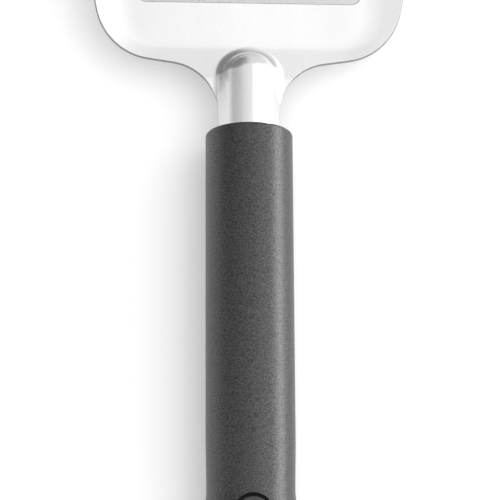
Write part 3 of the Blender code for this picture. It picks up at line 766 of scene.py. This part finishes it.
class Finish:
    """Node tree of one material, with short ways to add the nodes that the finishes share."""

    def __init__(self, name, colour, metallic, roughness):
        self.material = bpy.data.materials.new(name)
        self.material.use_nodes = True
        self.tree = self.material.node_tree
        self.shader = self.tree.nodes["Principled BSDF"]
        self.shader.inputs["Base Color"].default_value = (*colour, 1.0)
        self.shader.inputs["Metallic"].default_value = metallic
        self.shader.inputs["Roughness"].default_value = roughness
        self.material.diffuse_color = (*colour, 1.0)
        self.place = self.node("ShaderNodeTexCoord").outputs["Object"]

    def node(self, kind, **values):
        """New node with the given settings."""
        made = self.tree.nodes.new(kind)
        for name, value in values.items():
            setattr(made, name, value)
        return made

    def link(self, output, target):
        """Link one node's output to another's input."""
        self.tree.links.new(output, target)

    def drive(self, quality, output):
        """Let a node's output set one quality of the surface."""
        self.link(output, self.shader.inputs[quality])

    def noise(self, cells, detail, roughness):
        """Noise with as many cells per metre as given for each axis."""
        mapping = self.node("ShaderNodeMapping")
        mapping.inputs["Scale"].default_value = cells
        self.link(self.place, mapping.inputs["Vector"])
        noise = self.node("ShaderNodeTexNoise")
        noise.inputs["Scale"].default_value = 1.0
        noise.inputs["Detail"].default_value = detail
        noise.inputs["Roughness"].default_value = roughness
        self.link(mapping.outputs["Vector"], noise.inputs["Vector"])
        return noise.outputs["Fac"]

    def spread(self, value, low, high, start=0.25, end=0.75):
        """The value's range from start to end, spread from low to high."""
        ranged = self.node("ShaderNodeMapRange")
        ranged.inputs["From Min"].default_value = start
        ranged.inputs["From Max"].default_value = end
        ranged.inputs["To Min"].default_value = low
        ranged.inputs["To Max"].default_value = high
        self.link(value, ranged.inputs["Value"])
        return ranged.outputs["Result"]

    def tint(self, value, dark, light):
        """Colour that runs from dark to light with the value."""
        # The node's sockets for colours share their names with those for numbers, so they go by place
        mix = self.node("ShaderNodeMix", data_type="RGBA")
        mix.inputs[6].default_value = (*dark, 1.0)
        mix.inputs[7].default_value = (*light, 1.0)
        self.link(value, mix.inputs[0])
        return mix.outputs[2]

    def bump(self, value, depth, under=None):
        """Bump of a depth in millimetres, laid over the one under it."""
        bump = self.node("ShaderNodeBump")
        bump.inputs["Distance"].default_value = depth * MM
        bump.inputs["Strength"].default_value = 1.0
        self.link(value, bump.inputs["Height"])
        if under:
            self.link(under, bump.inputs["Normal"])
        return bump.outputs["Normal"]


def shaded(colour, factor):
    """Colour made darker or lighter by a factor."""
    return tuple(min(1.0, c * factor) for c in colour)


def brushed_steel(sizes):
    """Stainless sheet with fine lines along the slicer and a soft, wide sheen across them."""
    finish = Finish("brushed_steel", sizes.colour, metallic=1.0, roughness=sizes.roughness)
    lines = finish.noise(BRUSH_LINES, detail=4.0, roughness=0.65)
    clouds = finish.spread(finish.noise(BRUSH_CLOUDS, detail=2.0, roughness=0.5), 0, 1)
    finish.drive("Roughness", finish.spread(lines, sizes.roughness - 0.05, sizes.roughness + 0.06))
    finish.drive("Base Color", finish.tint(clouds, shaded(sizes.colour, 0.96), shaded(sizes.colour, 1.03)))
    finish.drive("Normal", finish.bump(lines, sizes.line_depth))
    across = finish.node("ShaderNodeCombineXYZ")
    across.inputs["X"].default_value = 1.0
    finish.shader.inputs["Anisotropic"].default_value = sizes.sheen_width
    finish.drive("Tangent", across.outputs["Vector"])
    return finish.material


def shade_darkened_steel(name, colour, roughness, cells):
    """Unbrushed steel darkened as painted shade, on the cut edges partly their own rough finish: patchy,
    with a soft sheen.
    """
    finish = Finish(name, colour, metallic=1.0, roughness=roughness)
    patches = finish.noise(cells, detail=4.0, roughness=0.6)
    finish.drive("Roughness", finish.spread(patches, roughness - 0.05, roughness + 0.07))
    finish.drive("Base Color", finish.tint(patches, shaded(colour, 0.9), shaded(colour, 1.1)))
    finish.drive("Normal", finish.bump(patches, DULL_STEEL_DEPTH))
    return finish.material


def grained_plastic(sizes):
    """Matte black moulding with a fine eroded grain."""
    finish = Finish("grip_plastic", sizes.colour, metallic=0.0, roughness=sizes.roughness)
    finish.shader.inputs["Specular IOR Level"].default_value = sizes.gloss
    grain = finish.noise(GRIP_GRAIN, detail=2.0, roughness=0.5)
    pores = finish.noise(GRIP_PORES, detail=2.0, roughness=0.5)
    dull = sizes.gloss - sizes.grain_contrast
    bright = sizes.gloss + sizes.grain_contrast
    finish.drive("Specular IOR Level", finish.spread(grain, dull, bright, start=0.35, end=0.65))
    depths = finish.spread(grain, 0, 1)
    finish.drive("Base Color", finish.tint(depths, shaded(sizes.colour, 0.5), shaded(sizes.colour, 1.6)))
    finish.drive("Roughness", finish.spread(grain, sizes.roughness - 0.04, sizes.roughness + 0.06))
    under = finish.bump(pores, sizes.grain_depth * 0.4)
    finish.drive("Normal", finish.bump(grain, sizes.grain_depth, under))
    return finish.material


def plain_plastic(name, colour, roughness, depth, gloss=0.5):
    """Moulded plastic with a faint flow texture."""
    finish = Finish(name, colour, metallic=0.0, roughness=roughness)
    finish.shader.inputs["Specular IOR Level"].default_value = gloss
    flow = finish.noise(MOULDED_FLOW, detail=3.0, roughness=0.6)
    finish.drive("Roughness", finish.spread(flow, roughness - 0.04, roughness + 0.05))
    finish.drive("Base Color", finish.tint(flow, shaded(colour, 0.9), shaded(colour, 1.1)))
    finish.drive("Normal", finish.bump(flow, depth))
    return finish.material


def table_top(sizes):
    """White table that stays white to the eye and in reflections, and keeps the slicer's shadow."""
    white = (sizes.floor_shade,) * 3
    finish = Finish("table_top", white, metallic=0.0, roughness=TABLE_ROUGHNESS)
    finish.shader.inputs["Specular IOR Level"].default_value = 0.0
    shades = finish.noise(TABLE_SHADES, detail=2.0, roughness=0.5)
    finish.drive("Base Color", finish.tint(shades, shaded(white, 0.995), white))
    path = finish.node("ShaderNodeLightPath")
    seen = path.outputs["Is Camera Ray"]
    for other in ("Is Glossy Ray", "Is Transmission Ray"):
        either = finish.node("ShaderNodeMath", operation="MAXIMUM")
        finish.link(seen, either.inputs[0])
        finish.link(path.outputs[other], either.inputs[1])
        seen = either.outputs[0]
    glow = finish.node("ShaderNodeMath", operation="MULTIPLY")
    glow.inputs[1].default_value = sizes.floor_glow
    finish.link(seen, glow.inputs[0])
    finish.shader.inputs["Emission Color"].default_value = (1, 1, 1, 1)
    finish.drive("Emission Strength", glow.outputs[0])
    return finish.material


# Studio


def facing_slicer(stand):
    """Place and turn of a lamp or card on its stand, facing the slicer."""
    heading = Matrix.Rotation(math.radians(stand.heading + 90), 4, "Z")
    lean = Matrix.Rotation(math.radians(stand.lean), 4, "X")
    spin = Matrix.Rotation(math.radians(stand.spin), 4, "Z")
    return heading @ lean @ Matrix.Translation((0, 0, stand.distance * MM)) @ spin


def add_lamp(name, stand, radiance):
    """Rectangular lamp of a given radiance, out of the camera's sight."""
    data = bpy.data.lights.new(name, "AREA")
    data.shape = "RECTANGLE"
    data.size = stand.width * MM
    data.size_y = stand.height * MM
    data.energy = radiance * math.pi * data.size * data.size_y
    lamp = bpy.data.objects.new(name, data)
    bpy.context.scene.collection.objects.link(lamp)
    lamp.matrix_world = facing_slicer(stand)
    lamp.visible_camera = False


def add_card(name, stand, shade):
    """Card of a given shade that dims what the emboss and the stem mirror, out of the camera's sight."""
    half_width = stand.width / 2 * MM
    half_height = stand.height / 2 * MM
    corners = [(-half_width, -half_height), (half_width, -half_height)]
    corners += [(half_width, half_height), (-half_width, half_height)]
    mesh = bpy.data.meshes.new(name)
    mesh.from_pydata([(x, y, 0) for x, y in corners], [], [(0, 1, 2, 3)])
    mesh.materials.append(plain_plastic(f"{name}_paint", (shade,) * 3, CARD_ROUGHNESS, CARD_DEPTH))
    card = bpy.data.objects.new(name, mesh)
    bpy.context.scene.collection.objects.link(card)
    card.matrix_world = facing_slicer(stand)
    card.visible_camera = False


def add_camera():
    """Camera that looks down on the slicer, with the picture's upper side to its front."""
    data = bpy.data.cameras.new("camera")
    data.lens = CAMERA_LENS
    data.sensor_width = CAMERA_SENSOR
    data.clip_start = CAMERA_NEAREST * MM
    data.clip_end = CAMERA_FARTHEST * MM
    camera = bpy.data.objects.new("camera", data)
    bpy.context.scene.collection.objects.link(camera)
    place = Vector(CAMERA_PLACE)
    backward = (place - Vector(CAMERA_AIM)).normalized()
    right = Vector((0, 1, 0)).cross(backward).normalized()
    upright = backward.cross(right)
    roll = Matrix.Rotation(CAMERA_ROLL, 3, "Z")
    turn = Matrix((right, upright, backward)).transposed() @ roll
    camera.matrix_world = Matrix.Translation(place * MM) @ turn.to_4x4()
    bpy.context.scene.camera = camera


def add_world(sizes):
    """Even white light from all round."""
    world = bpy.data.worlds.new("studio")
    world.use_nodes = True
    background = world.node_tree.nodes["Background"]
    background.inputs["Color"].default_value = (1, 1, 1, 1)
    background.inputs["Strength"].default_value = sizes.room_light
    bpy.context.scene.world = world


def add_table(sizes):
    """Round table just below the slicer."""
    bpy.ops.mesh.primitive_circle_add(
        vertices=TABLE_CORNERS,
        radius=TABLE_RADIUS * MM,
        fill_type="NGON",
        location=(0, 0, -TABLE_GAP * MM),
    )
    table = bpy.context.object
    table.name = "table"
    table.data.materials.append(table_top(sizes))


# Sizes and colours to change


class SteelHeadSettings(PropertyGroup):
    edge_rounding: FloatProperty(
        name="Edge rounding",
        description="Radius of the tumbled cut edges, in millimetres",
        default=0.25,
        min=0.05,
        max=0.6,
    )
    colour: FloatVectorProperty(
        name="Colour",
        description="Colour of the bare steel",
        subtype="COLOR",
        size=3,
        default=(0.76, 0.76, 0.765),
    )
    # The underside's colour is darker than bare steel: painted shade that deepens the shadow under the head
    underside_shade_colour: FloatVectorProperty(
        name="Underside",
        description="Colour of the unbrushed underside",
        subtype="COLOR",
        size=3,
        default=(0.32,) * 3,
    )
    # The cut edges' dark colour is partly their rough blanked finish and partly painted shade for the
    # shadowed table they mirror
    cut_shade_colour: FloatVectorProperty(
        name="Cut edges",
        description="Colour of the sheet's cut edges",
        subtype="COLOR",
        size=3,
        default=(0.28,) * 3,
    )
    roughness: FloatProperty(
        name="Roughness",
        description="Mean roughness of the brushed surface",
        default=0.24,
        subtype="FACTOR",
    )
    sheen_width: FloatProperty(
        name="Sheen width",
        description="How much the lines widen each reflection across them",
        default=0.8,
        min=0.0,
        max=1.0,
        subtype="FACTOR",
    )
    line_depth: FloatProperty(
        name="Line depth",
        description="Depth of the brush lines, in millimetres",
        default=0.005,
        precision=4,
    )


class GripSettings(PropertyGroup):
    colour: FloatVectorProperty(
        name="Colour",
        description="Colour of the moulded grip",
        subtype="COLOR",
        size=3,
        default=(0.009, 0.009, 0.0095),
    )
    roughness: FloatProperty(
        name="Roughness",
        description="Mean roughness of the grained surface",
        default=0.38,
        subtype="FACTOR",
    )
    gloss: FloatProperty(
        name="Gloss",
        description="How much light the surface mirrors, where 0.5 is plain plastic",
        default=0.8,
        subtype="FACTOR",
    )
    # The recesses mirror less light than the grip: painted shade for the dark ring round each bush
    recess_shade_gloss: FloatProperty(
        name="Recess gloss",
        description="Gloss of the smooth recesses around the bushes",
        default=0.2,
        subtype="FACTOR",
    )
    grain_contrast: FloatProperty(
        name="Grain contrast",
        description="How much more or less the facets of the grain shine than the rest",
        default=0.3,
        subtype="FACTOR",
    )
    grain_depth: FloatProperty(
        name="Grain depth",
        description="Depth of the moulded grain, in millimetres",
        default=0.04,
        precision=3,
    )


class BushSettings(PropertyGroup):
    colour: FloatVectorProperty(
        name="Colour",
        description="Colour of the bushes",
        subtype="COLOR",
        size=3,
        default=(0.03, 0.03, 0.031),
    )
    roughness: FloatProperty(
        name="Roughness",
        description="Roughness of the bushes",
        default=0.34,
        subtype="FACTOR",
    )


class CoreSettings(PropertyGroup):
    colour: FloatVectorProperty(
        name="Colour",
        description="Colour of the core",
        subtype="COLOR",
        size=3,
        default=(0.05, 0.05, 0.052),
    )
    roughness: FloatProperty(
        name="Roughness",
        description="Roughness of the core",
        default=0.5,
        subtype="FACTOR",
    )


class StudioSettings(PropertyGroup):
    floor_shade: FloatProperty(
        name="Table shade",
        description="How much light the table returns",
        default=0.9,
        subtype="FACTOR",
    )
    floor_glow: FloatProperty(
        name="Table glow",
        description="White that is added where the table is seen",
        default=0.15,
        subtype="FACTOR",
    )
    room_light: FloatProperty(
        name="Room light",
        description="Strength of the even light from all round",
        default=0.95,
    )
    softbox_light: FloatProperty(
        name="Softbox",
        description="Radiance of the softbox overhead",
        default=0.25,
    )
    panel_light: FloatProperty(
        name="Side panel",
        description="Radiance of the panel on the right",
        default=0.68,
    )
    strip_light: FloatProperty(
        name="Side strip",
        description="Radiance of the low strip on the right",
        default=8.5,
    )


class SlicerSettings(PropertyGroup):
    head: PointerProperty(type=SteelHeadSettings)
    grip: PointerProperty(type=GripSettings)
    bush: PointerProperty(type=BushSettings)
    core: PointerProperty(type=CoreSettings)
    studio: PointerProperty(type=StudioSettings)


# Operators


class SLICER_OT_blade_head(Operator):
    """Make the pressed steel head with its stem and tang"""

    bl_idname = "cheese_slicer.blade_head"
    bl_label = "Blade Head"

    def execute(self, context):
        sizes = context.scene.cheese_slicer.head
        mesh = pressed_sheet_mesh("head", sizes.edge_rounding)
        finishes = [
            brushed_steel(sizes),
            # Underside: painted shade, darker than bare steel
            shade_darkened_steel("shade_darkened_underside", sizes.underside_shade_colour, UNDERSIDE_ROUGHNESS, UNDERSIDE_PATCHES),
            # Cut edges: rough finish, darkened partly as painted shade
            shade_darkened_steel("cut_edge_shaded_steel", sizes.cut_shade_colour, CUT_ROUGHNESS, CUT_PATCHES),
        ]
        new_piece("head", mesh, finishes, "blade_head")
        return {"FINISHED"}


class SLICER_OT_grip(Operator):
    """Make the grained grip with its hanging hole"""

    bl_idname = "cheese_slicer.grip"
    bl_label = "Grip"

    def execute(self, context):
        sizes = context.scene.cheese_slicer.grip
        mesh = grip_mesh()
        # The recess plastic mirrors less light than the grip, as painted shade round the bushes
        recess = plain_plastic(
            "recess_shade_plastic", sizes.colour, RECESS_ROUGHNESS, RECESS_DEPTH, sizes.recess_shade_gloss
        )
        new_piece("grip", mesh, [grained_plastic(sizes), recess], "grip_sleeve")
        return {"FINISHED"}


class SLICER_OT_bushes(Operator):
    """Make the two flanged bushes in the hanging hole"""

    bl_idname = "cheese_slicer.bushes"
    bl_label = "Hanging Bushes"

    def execute(self, context):
        sizes = context.scene.cheese_slicer.bush
        material = plain_plastic("bush_plastic", sizes.colour, sizes.roughness, BUSH_DEPTH)
        for name, floor, side in (("top", TOP_RECESS_FLOOR, 1), ("bottom", BOTTOM_RECESS_FLOOR, -1)):
            mesh = bush_mesh(f"bush_{name}", floor, side)
            new_piece(f"bush_{name}", mesh, [material], f"hanging_bush_{name}")
        return {"FINISHED"}


class SLICER_OT_core(Operator):
    """Give the two halves of the core their moulded finish"""

    bl_idname = "cheese_slicer.core"
    bl_label = "Core"

    def execute(self, context):
        sizes = context.scene.cheese_slicer.core
        material = plain_plastic("core_plastic", sizes.colour, sizes.roughness, CORE_DEPTH)
        for name in ("core_lower", "core_upper"):
            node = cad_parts[name]
            node.data.materials.clear()
            node.data.materials.append(material)
        return {"FINISHED"}


class SLICER_OT_studio(Operator):
    """Set the table, the lamps, the cards and the camera"""

    bl_idname = "cheese_slicer.studio"
    bl_label = "Studio"

    def execute(self, context):
        sizes = context.scene.cheese_slicer.studio
        context.scene.view_settings.view_transform = "Standard"
        add_table(sizes)
        add_world(sizes)
        add_lamp("softbox", SOFTBOX, sizes.softbox_light)
        add_lamp("side_panel", SIDE_PANEL, sizes.panel_light)
        add_lamp("side_strip", SIDE_STRIP, sizes.strip_light)
        add_card("grey_card", GREY_CARD, GREY_CARD_SHADE)
        add_card("pale_card", PALE_CARD, PALE_CARD_SHADE)
        add_card("front_card", FRONT_CARD, FRONT_CARD_SHADE)
        add_camera()
        return {"FINISHED"}


class SLICER_PT_panel(Panel):
    """Settings and pieces of the cheese slicer"""

    bl_idname = "SLICER_PT_panel"
    bl_label = "Cheese Slicer"
    bl_space_type = "VIEW_3D"
    bl_region_type = "UI"
    bl_category = "Slicer"

    def draw(self, context):
        settings = context.scene.cheese_slicer
        for title, group, operator in PANEL_ROWS:
            box = self.layout.box()
            box.label(text=title)
            values = getattr(settings, group)
            for name in values.__annotations__:
                box.prop(values, name)
            box.operator(operator)


PANEL_ROWS = (
    ("Blade head", "head", "cheese_slicer.blade_head"),
    ("Grip", "grip", "cheese_slicer.grip"),
    ("Hanging bushes", "bush", "cheese_slicer.bushes"),
    ("Core", "core", "cheese_slicer.core"),
    ("Studio", "studio", "cheese_slicer.studio"),
)

CLASSES = (
    SteelHeadSettings,
    GripSettings,
    BushSettings,
    CoreSettings,
    StudioSettings,
    SlicerSettings,
    SLICER_OT_blade_head,
    SLICER_OT_grip,
    SLICER_OT_bushes,
    SLICER_OT_core,
    SLICER_OT_studio,
    SLICER_PT_panel,
)


def register():
    for cls in CLASSES:
        bpy.utils.register_class(cls)
    bpy.types.Scene.cheese_slicer = PointerProperty(type=SlicerSettings)


def unregister():
    del bpy.types.Scene.cheese_slicer
    for cls in reversed(CLASSES):
        bpy.utils.unregister_class(cls)


def main():
    register()
    bpy.ops.cheese_slicer.blade_head()
    bpy.ops.cheese_slicer.grip()
    bpy.ops.cheese_slicer.bushes()
    bpy.ops.cheese_slicer.core()
    bpy.ops.cheese_slicer.studio()


if __name__ == "__main__":
    main()
